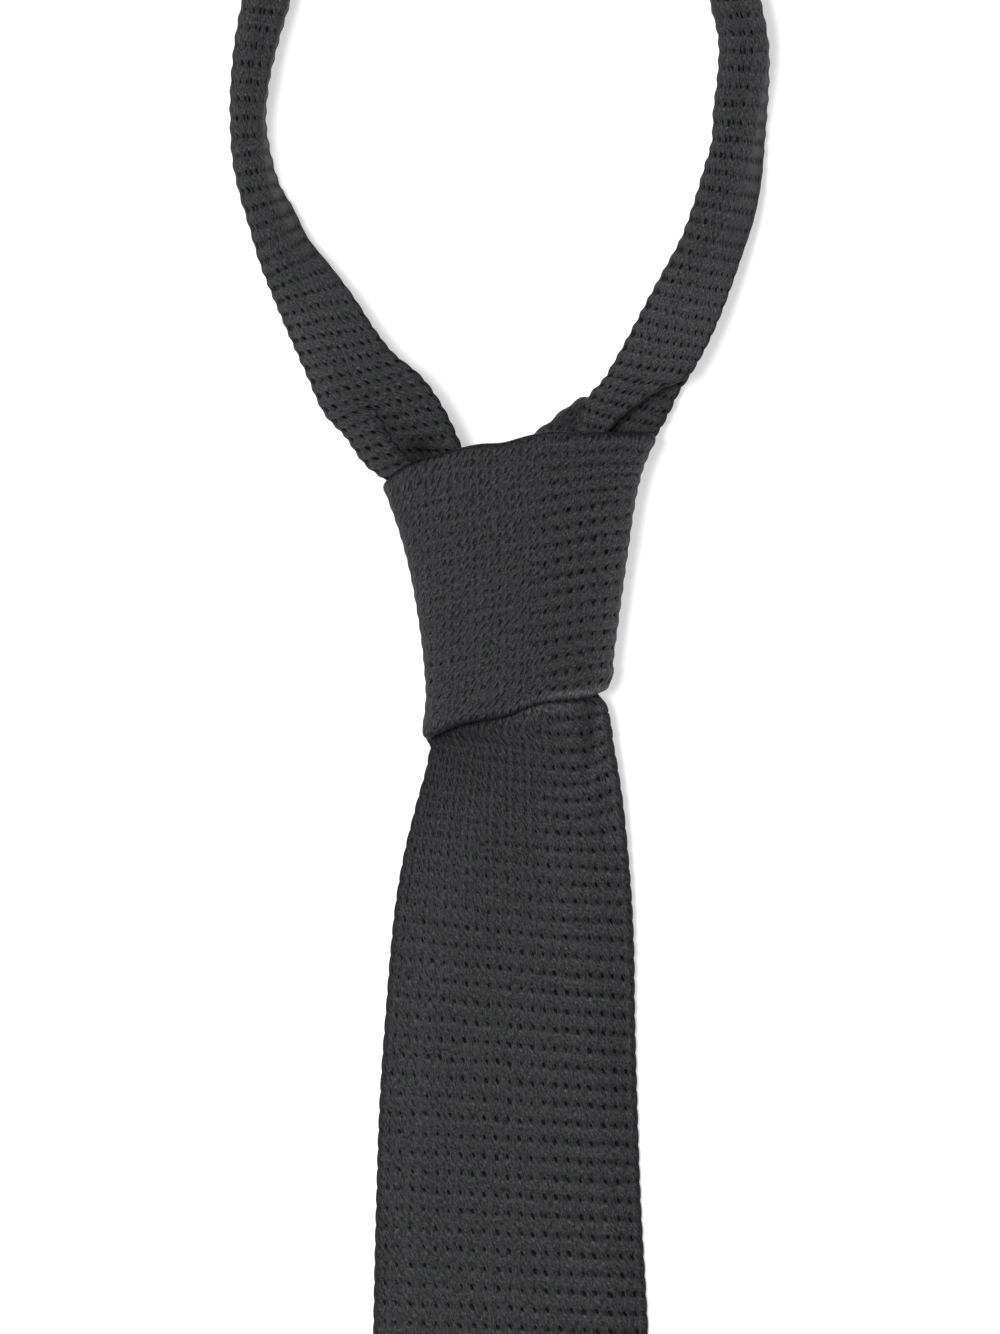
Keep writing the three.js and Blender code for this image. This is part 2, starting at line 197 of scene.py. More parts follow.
def cloth(name, middle, course, wale, openness, gather=0.0, painted_shading=1.0, ridged=0.5, thick=1.0,
          glow=0.0, soft=SIDE_SOFT, scallop=SCALLOP, turn=None):
    """A knitted wall with rounded edges, round a middle surface of rows of points.

    course and wale count the stitches along and across. openness is the eyelets' size, gather how
    far the cloth is drawn into ribs, ridged how deep its grooves are and how dark their painted
    shadow, tone the painted light and shade as a share of the yarn's colour, and thick the wall's
    share of its thickness, row by row. glow sets the painted highlight on its slopes, soft how far
    the painted shade of its sides reaches, and scallop how its edges look. turn joins the last row
    to the first, and is the number of wales in the whole turn.
    """
    rows, cols = middle.shape[:2]
    closed = turn is not None
    along = unit(slopes_of(middle, 0, closed))
    across = unit(slopes_of(middle, 1, False))
    normal = unit(np.cross(along, across))
    half = WALL / 2 * np.broadcast_to(np.asarray(thick, float), rows)[:, None]
    turns = np.broadcast_to(np.asarray(turn if closed else 0.0, float), (rows, cols))
    shares = [np.broadcast_to(np.asarray(share, float), (rows, cols))
              for share in (openness, gather, ridged, painted_shading)]
    glow = np.broadcast_to(np.asarray(glow, float), (rows, cols))
    state = np.stack([wale, course, *shares, turns], -1)
    out = (half + relief(course, wale, *shares[:3]))[..., None]
    seen = slice(None, None, BACK_SKIP)
    points = [middle + normal * out]
    states = [shaded(state, normal, glow, soft)]
    for column, sign in ((-1, 1), (0, -1)):
        edge = unit(np.cross(normal[:, column], along[:, column])) * sign
        puff = SWELL + scallop * (np.abs(np.sin(math.pi * course[:, column])) ** SCALLOP_POWER - 0.5)
        angles = np.linspace(0, math.pi, EDGE_STEPS + 2)[1:-1]
        inward = np.minimum(angles, math.pi - angles)
        angles = angles if sign > 0 else math.pi - angles
        reach = (half + puff[:, None] * np.minimum(half / WALL * 2, 1)) * np.sin(angles)
        lift = half * np.cos(angles)
        edge = edge[:, None]
        face = normal[:, column, None]
        ring = middle[:, column, None] + edge * reach[..., None] + face * lift[..., None]
        outward = edge * np.sin(angles)[:, None] + face * np.cos(angles)[:, None]
        beside = column - 1 if sign > 0 else column + 1
        gap = np.linalg.norm(middle[:, column] - middle[:, beside], axis=-1)
        drift = (state[:, column, :2] - state[:, beside, :2]) / gap[:, None] * WALL / 2
        ring_state = np.repeat(state[:, column, None], EDGE_STEPS, 1)
        ring_state[..., :2] += drift[:, None] * inward[None, :, None]
        ring_state[..., 2] *= EDGE_OPEN
        points.append(ring)
        states.append(shaded(ring_state, outward, glow[:, :1], EDGE_SOFT))
        if sign > 0:
            points.append((middle - normal * out)[:, seen][:, ::-1])
            states.append(shaded(state, -normal, glow, soft)[:, seen][:, ::-1])
    points = np.concatenate(points, 1)
    states = np.concatenate(states, 1)
    points[..., 2] = np.maximum(points[..., 2], FLOOR_CLEAR)
    around = points.shape[1]
    index = np.arange(rows * around).reshape(rows, around)
    last = index if closed else index[:-1]
    after = np.roll(index, -1, 0) if closed else index[1:]
    faces = np.stack([last, after, np.roll(after, -1, 1), np.roll(last, -1, 1)], -1).reshape(-1, 4).tolist()
    if not closed:
        faces += end_faces(index[0], cols, flip=False)
        faces += end_faces(index[-1], cols, flip=True)
    piece = mesh_object(name, points.reshape(-1, 3), faces, states.reshape(-1, states.shape[-1]))
    if closed:
        join_turn(piece.data, states[0, :, -1])
    return piece


def shaded(state, outward, glow, soft):
    """The states of some points, with the painted shade and highlight that suit the way they face."""
    made = np.array(state)
    made[..., 5] *= painted_facing_shading(outward, glow, soft)
    return made


def join_turn(mesh, turns):
    """Carries the wales on over the faces that join the last row to the first."""
    around = len(turns)
    corner = np.zeros(len(mesh.loops), np.int32)
    mesh.loops.foreach_get("vertex_index", corner)
    uv = np.zeros(len(mesh.loops) * 2, np.float32)
    mesh.uv_layers[0].data.foreach_get("uv", uv)
    uv = uv.reshape(-1, 2)
    joining = (np.arange(len(corner)) >= len(corner) - 4 * around) & (corner < around)
    uv[joining, 0] += turns[corner[joining]]
    mesh.uv_layers[0].data.foreach_set("uv", uv.ravel())


def end_faces(ring, cols, flip):
    """Faces that close a section: one across the wall for each step of the back, and the edges."""
    back_count = len(range(0, cols, BACK_SKIP))
    face = ring[:cols]
    right = ring[cols:cols + EDGE_STEPS]
    back = ring[cols + EDGE_STEPS:cols + EDGE_STEPS + back_count][::-1]
    left = ring[cols + EDGE_STEPS + back_count:]
    loops = [[*right, back[-1], face[-1]], [*left, face[0], back[0]]]
    for k in range(back_count - 1):
        part = face[k * BACK_SKIP:(k + 1) * BACK_SKIP + 1]
        loops.append([*part, back[k + 1], back[k]])
    return [[int(v) for v in (loop[::-1] if flip else loop)] for loop in loops]


def mesh_object(name, points, faces, states):
    """A smooth mesh with its stitches as its UV map and the rest of its states as attributes."""
    mesh = bpy.data.meshes.new(name)
    mesh.from_pydata((points * MM).tolist(), [], faces)
    mesh.update()
    corner = np.zeros(len(mesh.loops), np.int32)
    mesh.loops.foreach_get("vertex_index", corner)
    layer = mesh.uv_layers.new(name="fabric")
    layer.data.foreach_set("uv", states[corner, :2].astype(np.float32).ravel())
    for k, state in enumerate(("openness", "gather", "ridged", "painted_shading")):
        attribute = mesh.attributes.new(state, "FLOAT", "POINT")
        attribute.data.foreach_set("value", states[:, 2 + k].astype(np.float32))
    mesh.shade_smooth()
    piece = bpy.data.objects.new(name, mesh)
    bpy.context.scene.collection.objects.link(piece)
    return piece


# The knot's outline from above: each side's edge, and both rims from left to right
LEFT_SIDE = as_table(("y", "x"), [
    (-31.0, -18.0), (-29.4, -18.6), (-27.6, -18.4), (-22.8, -17.9), (-16.6, -18.2),
    (-8.6, -19.1), (-1.2, -20.3), (4.6, -21.5), (10.8, -23.2), (16.6, -25.2), (20.8, -26.9),
])
RIGHT_SIDE = as_table(("y", "x"), [
    (-21.4, 18.0), (-18.2, 19.6), (-15.6, 19.7), (-8.2, 20.6), (0.0, 21.7), (8.6, 22.9),
    (14.4, 23.7), (20.2, 24.8), (24.4, 26.0), (27.8, 27.5), (30.4, 28.8),
])
RIMS = as_table(("across", "foot", "top"), [
    (-1.00, -30.8, 20.8), (-0.88, -29.8, 23.7), (-0.77, -28.8, 24.8), (-0.54, -27.5, 26.6),
    (-0.30, -26.8, 28.0), (-0.12, -26.3, 28.3), (0.08, -24.7, 29.8), (0.20, -24.0, 30.6),
    (0.46, -23.2, 30.5), (0.82, -22.4, 30.4), (1.00, -21.2, 30.4),
])
DEPTHS = as_table(("up", "depth"), [
    (0.0, 17.4), (0.17, 17.6), (0.33, 18.0), (0.5, 18.6), (0.67, 19.4), (0.83, 20.0),
    (1.0, 20.0),
])

# How square the knot is from the side, and how far its back is pressed flat
SQUARENESS = 3.0
BACK_PRESS = 1.12

# On the knot: the pitch of the rows of eyelets, of the eyelets in a row, and how steeply the rows
# rise to the right, below TOP_RISE_FROM and above it
WRAP_LINE = 3.2
WRAP_DOT = 2.4
WRAP_RISE = 0.2
TOP_RISE = 0.06
TOP_RISE_FROM = 16.0
TOP_RISE_SOFT = 12.0
WRAP_STEP = 0.42
KNOT_FINE = 4001

# The knot's eyelets are small on the left and open on the right, less so near the top, and open
# once more in its lower left corner
PANEL_OPEN = 0.35
RIGHT_MORE_OPEN = 0.6
RIGHT_FROM = 2.0
RIGHT_SOFT = 6.0
TOP_LESS_OPEN = 0.4
TOP_OPEN_FROM = 12.0
TOP_OPEN_SOFT = 10.0
CORNER_OPEN = as_table(OVAL, [(-15.0, -19.0, 4.5, 9.0, 0, 0.9)])
LEFT_RIDGED = 0.1
RIGHT_RIDGED = 0.8

# The knot's share of its yarn's colour, the painted highlight on its slopes and the painted highlight
# line along its right edge, at the foot and at the top. The edge is WRAP_EDGE inside the outline
WRAP_TONE = 0.94
FOOT_GLOW = 0.8
TOP_GLOW = 0.48
FOOT_EDGE_LIGHT = 0.9
TOP_EDGE_LIGHT = 0.375
WRAP_EDGE = 1.3
WRAP_EDGE_WIDE = 0.8

# A painted highlight along the rolled edge at the knot's foot, which grows to the right
FOOT_LIGHT = 1.0
FOOT_WIDE = 0.9
FOOT_FROM = -4.0
FOOT_GROWS = 14.0


def knot_middle(up, angle):
    """Points of the knot's middle surface, a tapered sleeve pressed flat where it rests."""
    power = 2 / SQUARENESS
    across = np.sign(np.cos(angle)) * np.abs(np.cos(angle)) ** power
    rise = np.sign(np.sin(angle)) * np.abs(np.sin(angle)) ** power
    inset = WALL / 2
    sides = np.array([-1.0, 1.0])
    foot = read(RIMS, "across", "foot", sides) + inset
    top = read(RIMS, "across", "top", sides) - inset
    left = read(LEFT_SIDE, "y", "x", lerp(foot[0], top[0], up)) + inset
    right = read(RIGHT_SIDE, "y", "x", lerp(foot[1], top[1], up)) - inset
    depth = read(DEPTHS, "up", "depth", up)
    reach = np.where(rise > 0, depth - WALL, depth * BACK_PRESS - WALL) / 2
    low = read(RIMS, "across", "foot", across) + inset
    high = read(RIMS, "across", "top", across) - inset
    x = (left + right) / 2 + across * (right - left) / 2
    z = np.maximum(inset, depth / 2 + rise * reach)
    return np.stack([x, lerp(low, high, up), z], -1)


def even_angles(step):
    """Angles that step evenly round the knot: up its left side, over it and down its right."""
    angle = np.linspace(1.5 * math.pi, -0.5 * math.pi, KNOT_FINE)
    ring = knot_middle(np.full_like(angle, 0.5), angle)
    length = np.concatenate([[0], np.cumsum(np.linalg.norm(np.diff(ring, axis=0), axis=1))])
    count = int(length[-1] / step)
    return np.interp(np.arange(count) / count * length[-1], length, angle)


def wrap_cloth():
    """The wide end wrapped round the knot. Its rows of eyelets rise to the right."""
    angle = even_angles(WRAP_STEP)
    height = RIMS[0]["top"] - RIMS[0]["foot"]
    up = np.linspace(0, 1, int(height / WRAP_STEP / BACK_SKIP) * BACK_SKIP + 1)
    angle, up = np.meshgrid(angle, up, indexing="ij")
    middle = knot_middle(up, angle)
    step = np.linalg.norm(np.roll(middle, -1, 0) - middle, axis=2)
    way = np.cumsum(step, 0) - step
    front = int(np.argmin(np.abs(angle[:, 0] - math.pi / 2)))
    wale = (way - way[front]) / WRAP_DOT
    x, y = middle[..., 0], middle[..., 1]
    rise = lerp(WRAP_RISE, TOP_RISE, ease((y - TOP_RISE_FROM) / TOP_RISE_SOFT))
    course = (y - rise * x) / WRAP_LINE
    right = ease((x - RIGHT_FROM) / RIGHT_SOFT)
    top = lerp(1, TOP_LESS_OPEN, ease((y - TOP_OPEN_FROM) / TOP_OPEN_SOFT))
    corner = 1 - shading(x, y, CORNER_OPEN)
    inset = read(RIGHT_SIDE, "y", "x", y) - x
    inside = ease((inset - WRAP_EDGE_WIDE) / WRAP_EDGE)
    openness = np.maximum(PANEL_OPEN + RIGHT_MORE_OPEN * right * top, corner) * inside
    ridged = lerp(LEFT_RIDGED, RIGHT_RIDGED, right) * inside
    # Painted highlights along the right edge, along the rolled foot and on the slopes
    edge = np.exp(-(((inset - WRAP_EDGE) / WRAP_EDGE_WIDE) ** 2))
    foot = ease((x - FOOT_FROM) / FOOT_GROWS) * np.exp(-((up * height / FOOT_WIDE) ** 2))
    light = lerp(FOOT_EDGE_LIGHT, TOP_EDGE_LIGHT, up) * edge + FOOT_LIGHT * foot
    glow = lerp(FOOT_GLOW, TOP_GLOW, up)
    return cloth("wrap_cloth", middle, course, wale, openness, painted_shading=WRAP_TONE * (1 + light),
                 ridged=ridged, glow=glow, turn=step.sum(0) / WRAP_DOT)


# The neck band, from its left end in the knot, round the nape, to its right end in the knot.
# out and in are its two edges from above. roll turns the fold from the top to one side, thick opens
# it, lift raises it in layers. dip is a valley in the upper layer, at a share of the way from the
# fold, and back draws the upper layer's edge back from the lower one's. pitch is the course's.
BAND = as_table(("outX", "outY", "inX", "inY", "roll", "thick", "pitch", "lift", "back", "dip", "dipAt"), [
    (-18.0, 10.9, -7.0, 14.3, 84, 2.4, 2.7, 1),
    (-20.4, 16.2, -8.6, 21.0, 84, 2.8, 2.7, 1, 0, 2.4, 0.75),
    (-25.4, 20.7, -10.6, 27.4, 82, 3.4, 2.7, 1, 0, 3.4, 0.72),
    (-30.1, 24.1, -14.1, 35.0, 80, 3.5, 2.8, 0.9, 0, 2.7, 0.6),
    (-34.1, 29.7, -18.8, 41.7, 76, 3.4, 2.8, 0.7, 0, 1.5, 0.4),
    (-38.1, 34.1, -24.0, 46.0, 72, 3.1, 2.9, 0.6, 0, 0.5, 0.22),
    (-41.4, 41.3, -28.0, 51.0, 68, 2.8, 3.0, 0.4, 0, 0, 0.2),
    (-44.9, 49.1, -32.0, 57.2, 62, 2.6, 3.1, 0.3),
    (-48.3, 57.2, -36.4, 63.2, 52, 2.4, 3.2, 0.1),
    (-50.9, 63.8, -41.2, 69.2, 40, 2.2, 3.3),
    (-53.3, 71.9, -44.4, 75.6, 27, 2.1, 3.4),
    (-55.2, 78.3, -47.0, 80.0, 16, 2.1, 3.5),
    (-56.6, 85.4, -49.0, 87.0, 7, 2.1, 3.6),
    (-57.0, 93.8, -49.9, 93.8, 2, 2.1, 3.6),
    (-56.9, 100.0, -49.4, 100.0, 0, 2.1, 3.6),
    (-56.2, 108.0, -47.8, 107.6, 0, 2.1, 3.6),
    (-54.5, 117.4, -45.3, 116.2, 0, 2.1, 3.6),
    (-46.8, 146.0, -38.8, 142.6, 0, 2.1, 3.7),
    (-29.5, 173.3, -23.5, 166.9, 0, 2.1, 3.78),
    (-3.7, 185.7, -3.7, 177.1, 0, 2.1, 3.78),
    (22.1, 173.3, 16.1, 166.9, 0, 2.1, 3.78),
    (39.9, 146.2, 31.9, 142.4, 0, 2.1, 3.7),
    (49.1, 117.0, 39.2, 116.4, 0, 2.1, 3.6),
    (50.9, 109.0, 40.6, 109.0, -2, 2.1, 3.6),
    (51.0, 101.0, 40.4, 101.4, -6, 2.1, 3.6),
    (50.6, 94.6, 39.6, 95.0, -12, 2.1, 3.6),
    (50.1, 88.6, 39.3, 89.0, -19, 2.1, 3.5),
    (49.4, 81.0, 37.5, 82.6, -28, 2.2, 3.5),
    (48.0, 73.8, 35.5, 75.8, -38, 2.3, 3.4),
    (45.8, 67.0, 33.0, 69.0, -47, 2.4, 3.3, 0.1),
    (43.4, 60.1, 29.3, 62.1, -56, 2.6, 3.2, 0.2),
    (40.2, 51.9, 25.3, 54.8, -64, 2.8, 3.1, 0.4),
    (36.8, 45.1, 21.3, 47.2, -70, 2.9, 3.0, 0.6),
    (35.1, 42.3, 19.4, 43.8, -73, 2.8, 3.0, 0.8, 0.26),
    (33.2, 39.5, 17.6, 40.8, -76, 2.5, 3.0, 1.0, 0.56),
    (30.9, 34.7, 14.6, 37.5, -79, 2.1, 2.9, 1.4, 0.72),
    (28.3, 30.3, 12.2, 33.3, -82, 1.7, 2.8, 1.75, 0.8),
    (21.0, 24.0, 11.0, 25.0, -84, 1.7, 2.7, 1.75, 0.75),
    (18.5, 16.5, 10.4, 17.0, -84, 1.8, 2.7, 1.7, 0.6),
])

# The strip's width when flat, its stitches, its points on each side of the fold and round it, and
# how far the valley reaches
BAND_FLAT = 30.0
BAND_WALES = 18
BAND_FINE = 4000
LEG_POINTS = 24
FOLD_POINTS = 16
DIP_SPREAD = 0.3
DIP_EDGE = 0.45

# On the band: the wales crowd at the fold's crest, the eyelets close beside it where the band
# stands, and the courses of the left end are skewed below LEFT_SKEW_TO. The painted shade of its
# sides reaches in differently at the edges of lying and standing stretches and further in than
# BAND_EDGE, and each end has its own share of painted highlight on its slopes
CREST_PINCH = 0.3
CREST_REACH = 0.4
BAND_OPEN = 1.25
SIDE_OPEN = 0.7
CREST_OPEN = 1.5
BAND_SCALLOP = 0.32
BAND_SKEW = 0.42
LEFT_SKEW_TO = 68.0
LEFT_SKEW_SOFT = 20.0
LEFT_BAND_GLOW = 0.5
RIGHT_BAND_GLOW = 0.6
LYING_SOFT = 1.1
STANDING_SOFT = 0.9
INNER_SOFT = 0.3
BAND_EDGE = 2.2

# Shade in the hollow where the left end goes in under the knot's rim and in the valley above it, and
# light along the right end's crease and where both ends broaden
BAND_SHADES = as_table(OVAL, [
    (-19.6, 27.2, 4.0, 2.4, 20, 0.72), (-26.0, 32.6, 9.0, 2.8, -35, 0.14),
    (20.2, 33.4, 5.0, 0.9, 42, -0.3), (23.0, 36.0, 9.0, 6.0, 50, -0.1),
    (32.0, 52.0, 14.0, 9.0, 62, -0.24), (-39.0, 50.0, 12.0, 9.0, -58, -0.2),
])


def folded_section(row, seen):
    """A folded band's middle line, from one free edge over the fold to the other.

    Its points are a place across the band, from 0 at the inner edge to 1 at the outer, and a height.
    """
    roll = math.radians(row["roll"])
    lying = abs(math.sin(roll))
    standing = math.cos(roll)
    depth = lerp(BAND_FLAT / 2, seen, lying)
    half = (seen - WALL) / 2 * standing + row["thick"] * lying
    down = np.linspace(1, 0, LEG_POINTS, endpoint=False)
    first = lerp(half, depth, down)
    short = row["dipAt"] - first / depth
    fall = ease(short / DIP_EDGE + 0.5) * np.exp(-np.maximum(short, 0) / DIP_SPREAD)
    raw = [np.stack([first, -half + row["dip"] * fall], -1)]
    turn = np.linspace(0, math.pi, FOLD_POINTS + 1)
    raw.append(np.stack([half - half * np.sin(turn), -half * np.cos(turn)], -1))
    upper = depth - max(0.0, row["back"]) * (depth - half)
    raw.append(np.stack([lerp(half, upper, down[::-1]), np.full(LEG_POINTS, half)], -1))
    raw = np.concatenate(raw)
    place = -raw[:, 0] * math.sin(roll) + raw[:, 1] * math.cos(roll)
    height = -raw[:, 0] * math.cos(roll) - raw[:, 1] * math.sin(roll)
    base = max(0.0, row["lift"]) * LAYER + WALL / 2 * lying
    place = (place - place.min()) / (place.max() - place.min())
    return np.stack([place, height - height.min() + base], -1)


def resampled(line, count):
    """A line of points stepped evenly along its length."""
    length = np.concatenate([[0], np.cumsum(np.linalg.norm(np.diff(line, axis=0), axis=1))])
    at = np.linspace(0, length[-1], count)
    return np.stack([np.interp(at, length, line[:, k]) for k in range(line.shape[1])], -1)


def band_cloth():
    """The neck band, folded once along its length, in courses that run across it."""
    for row in BAND:
        row["midX"] = (row["outX"] + row["inX"]) / 2
        row["midY"] = (row["outY"] + row["inY"]) / 2
        row["seen"] = math.hypot(row["outX"] - row["inX"], row["outY"] - row["inY"])
    at = 0.0
    for before, row in zip([None, *BAND], BAND):
        if before:
            at += math.hypot(row["midX"] - before["midX"], row["midY"] - before["midY"])
        row["at"] = at
    fine = np.linspace(0, at, BAND_FINE)
    courses = np.concatenate([[0], np.cumsum(np.diff(fine) / read(BAND, "at", "pitch", fine[1:]))])
    course = np.arange(int(courses[-1] * ALONG) + 1) / ALONG
    places = np.interp(course, courses, fine)
    names = ("outX", "outY", "inX", "inY", "midX", "midY", "seen", "roll", "thick", "lift", "dip",
             "dipAt", "back", "pitch")
    columns = {name: read(BAND, "at", name, places) for name in names}
    points = BAND_WALES * ACROSS + 1
    middle = np.zeros((len(places), points, 3))
    inward = np.zeros((len(places), points))
    for i in range(len(places)):
        row = {name: float(values[i]) for name, values in columns.items()}
        outer = np.array([row["outX"], row["outY"]])
        inner = np.array([row["inX"], row["inY"]])
        seen = float(np.linalg.norm(outer - inner))
        side = (outer - inner) / seen
        section = folded_section(row, seen)
        low = inner + side * (WALL / 2)
        high = outer - side * (WALL / 2)
        flat = low + (high - low) * section[:, :1]
        line = resampled(np.concatenate([flat, section[:, 1:], (0.5 - section[:, :1]) * seen], 1), points)
        middle[i] = line[:, :3]
        inward[i] = line[:, 3]
    place = (np.arange(points) / ACROSS - BAND_WALES / 2) * BAND_FLAT / BAND_WALES
    wale = place / BAND_FLAT * BAND_WALES + CREST_PINCH * np.tanh(place / CREST_REACH) + 0.5
    wale = np.broadcast_to(wale, middle.shape[:2])
    left_end = ease((LEFT_SKEW_TO - columns["midY"]) / LEFT_SKEW_SOFT) * (columns["midX"] < 0)
    course = course[:, None] + BAND_SKEW * left_end[:, None] * inward / columns["pitch"][:, None]
    standing = np.cos(np.radians(columns["roll"]))[:, None]
    openness = BAND_OPEN - SIDE_OPEN * standing * ease((np.abs(place) - CREST_OPEN) / CREST_OPEN)
    # Painted shade and light from the ovals, a painted highlight on the slopes and painted shade at the
    # sides
    painted_shading = shading(middle[..., 0], middle[..., 1], BAND_SHADES)
    glow = np.where(middle[..., 0] > 0, RIGHT_BAND_GLOW, LEFT_BAND_GLOW)
    from_edge = columns["seen"][:, None] / 2 - np.abs(inward)
    soft = lerp(lerp(LYING_SOFT, STANDING_SOFT, standing), INNER_SOFT, ease(from_edge / BAND_EDGE))
    return cloth("band_cloth", middle, course, wale, openness, painted_shading=painted_shading, glow=glow, soft=soft,
                 scallop=BAND_SCALLOP)


# The front blade, row by row from inside the knot to its end: its two edges from above, the height
# of its middle and how far its crown falls away beyond the share that is flat. ridge is the height
# of the fold on its right. lean crowds its wales to one side, slope and bend tilt its courses and
# level them on the right, and rise lifts them beyond the ridge
GATHERED = {"pitch": 3.3, "crown": 5.0, "open": 0.3, "lean": 0.36, "slope": 0.16, "bend": 1}
LAID = {"pitch": 3.78, "top": 4.25, "crown": 3.0, "open": 1, "flat": 0.73}
BLADE = [
    {"y": 16.5, "left": -8.8, "right": 9.8, "pitch": 3.3, "top": 14.9, "crown": 1.0, "open": 0.3},
    {"y": 0.0, "left": -11.5, "right": 12.5, "pitch": 3.3, "top": 13.9, "crown": 3.2, "open": 0.3},
    {"y": -13.0, "left": -11.5, "right": 13.0, "pitch": 3.3, "top": 13.0, "crown": 4.4, "open": 0.3},
    {**GATHERED, "y": -21.4, "left": -12.8, "right": 15.0, "top": 12.7, "ridge": 0.8},
    {**GATHERED, "y": -23.4, "left": -13.8, "right": 17.7, "top": 12.6, "ridge": 1.0},
    {**GATHERED, "y": -26.4, "left": -16.4, "right": 18.9, "top": 12.5, "rise": 0.4, "ridge": 1.4},
    {**GATHERED, "y": -29.0, "left": -18.3, "right": 19.4, "top": 12.3, "flat": 0.05, "rise": 0.45,
     "ridge": 1.6},
    {**GATHERED, "y": -31.8, "left": -17.0, "right": 19.7, "top": 12.0, "crown": 4.9, "flat": 0.06,
     "rise": 0.5, "ridge": 1.6, "lean": 0.35},
    {**GATHERED, "y": -35.0, "left": -17.4, "right": 20.3, "top": 11.6, "crown": 4.8, "open": 0.32,
     "flat": 0.1, "rise": 0.5, "ridge": 1.5, "lean": 0.34},
    {**GATHERED, "y": -44.2, "left": -19.8, "right": 21.7, "top": 10.4, "crown": 4.6, "open": 0.4,
     "flat": 0.2, "rise": 0.3, "ridge": 0.8, "lean": 0.28, "slope": 0.15},
    {"y": -53.0, "left": -22.0, "right": 22.6, "pitch": 3.4, "top": 9.3, "crown": 4.3, "open": 0.6,
     "flat": 0.3, "ridge": 0.3, "lean": 0.2, "slope": 0.13, "bend": 1},
    {"y": -63.0, "left": -23.8, "right": 23.4, "pitch": 3.55, "top": 8.1, "crown": 4.0, "open": 0.8,
     "flat": 0.4, "lean": 0.1, "slope": 0.12, "bend": 0.8},
    {"y": -74.2, "left": -25.0, "right": 23.9, "pitch": 3.7, "top": 6.9, "crown": 3.7, "open": 0.95,
     "flat": 0.5, "lean": 0.03, "slope": 0.11, "bend": 0.5},
    {**LAID, "y": -83.0, "left": -25.7, "right": 24.0, "top": 6.0, "crown": 3.5, "flat": 0.6,
     "slope": 0.1, "bend": 0.2},
    {**LAID, "y": -103.0, "left": -27.1, "right": 24.5, "top": 4.8, "crown": 3.2, "flat": 0.68,
     "slope": 0.065},
    {**LAID, "y": -123.0, "left": -27.8, "right": 25.2, "top": 4.3, "slope": 0.055},
    {**LAID, "y": -149.8, "left": -28.4, "right": 26.7, "slope": 0.044},
    {**LAID, "y": -200.0, "left": -28.8, "right": 27.9, "slope": 0.02},
    {**LAID, "y": -260.0, "left": -29.0, "right": 28.6},
    {**LAID, "y": -320.0, "left": -29.2, "right": 29.0},
    {**LAID, "y": -375.0, "left": -29.3, "right": 29.2, "crown": 2.95},
    {**LAID, "y": -388.0, "left": -29.3, "right": 29.3, "top": 3.6, "crown": 2.3},
    {**LAID, "y": -402.0, "left": -29.3, "right": 29.3, "top": 1.9, "crown": 0.6},
    {**LAID, "y": -416.0, "left": -29.3, "right": 29.3, "top": 1.3, "crown": 0},
    {**LAID, "y": -480.0, "left": -29.3, "right": 29.3, "top": 1.3, "crown": 0},
]

# The blade's courses level out beyond LEVEL_FROM. Its ridge lies at RIDGE_AT, a share of the half
# width, and is near RIDGE_X. Its steps are wider beyond NEAR_END, and the gather fades at GATHER_RIGHT
BLADE_WALES = 21
BLADE_FINE = 6000
LEVEL_FROM = 9.0
LEVEL_SOFT = 3.0
RIDGE_X = 13.5
RIDGE_SOFT = 1.0
RIDGE_AT = 0.64
RIDGE_WIDTH = 0.16
NEAR_END = -152.0
GATHER_RIGHT = 2.0
GATHER_SOFT = 8.0
OUTLINE_ROUNDS = 3

# The left side of the blade has smaller eyelets, and the right side has deeper grooves. The gather
# under the knot closes the eyelets on its left, and on its right they stay open
LEFT_OPEN = 0.7
RIGHT_OPEN = 0.95
LOOSE_OPEN = 0.9
LEFT_FROM = -20.0
LEFT_WIDE = 16.0
BLADE_RIDGED = 0.15
RIDGED_WIDE = 14.0

# Light along the ridge of the gather, down the blade's right and below the knot's foot, and shade
# beside the ridge and on the left of the gather
BLADE_SHADES = as_table(OVAL, [
    (16.6, -27.5, 6.0, 1.0, 84, -0.5), (15.0, -37.5, 5.0, 1.0, 77, -0.35),
    (13.8, -29.0, 7.0, 1.5, 82, 0.25), (20.2, -42.0, 13.0, 2.6, 102, -0.24),
    (6.5, -24.4, 11.0, 1.6, 11, -0.9), (13.0, -54.0, 22.0, 8.0, 95, -0.12),
    (-8.0, -36.0, 6.0, 5.0, 0, 0.16), (-9.0, -30.0, 10.0, 1.6, 10, 0.25),
])


def rounded_end(y, end):
    """The wall's share of its thickness near a closed end."""
    inside = np.clip((y - end) / (WALL / 2), 0, 1)
    return np.maximum(np.sqrt(1 - (1 - inside) ** 2), END_THIN)


def course_places(table, start, end, near_end):
    """Places along a strip that step evenly through its courses, and the course of each.

    The steps are wider beyond near_end.
    """
    fine = np.linspace(start, end, BLADE_FINE)
    pitch = read(table, "y", "pitch", fine)
    courses = np.concatenate([[0], np.cumsum(np.abs(np.diff(fine)) / pitch[1:])])
    split = int(np.interp(-near_end, -fine, courses))
    near = np.arange(0, split, 1 / ALONG)
    far = np.arange(split, courses[-1], 1 / FAR_ALONG)
    course = np.concatenate([near, far])
    down = np.interp(course, courses, fine)
    inside = down > end + WALL / 2
    tip = end + END_STEPS * WALL / 2
    course = np.concatenate([course[inside], np.interp(-tip, -fine, courses)])
    return np.concatenate([down[inside], tip]), course


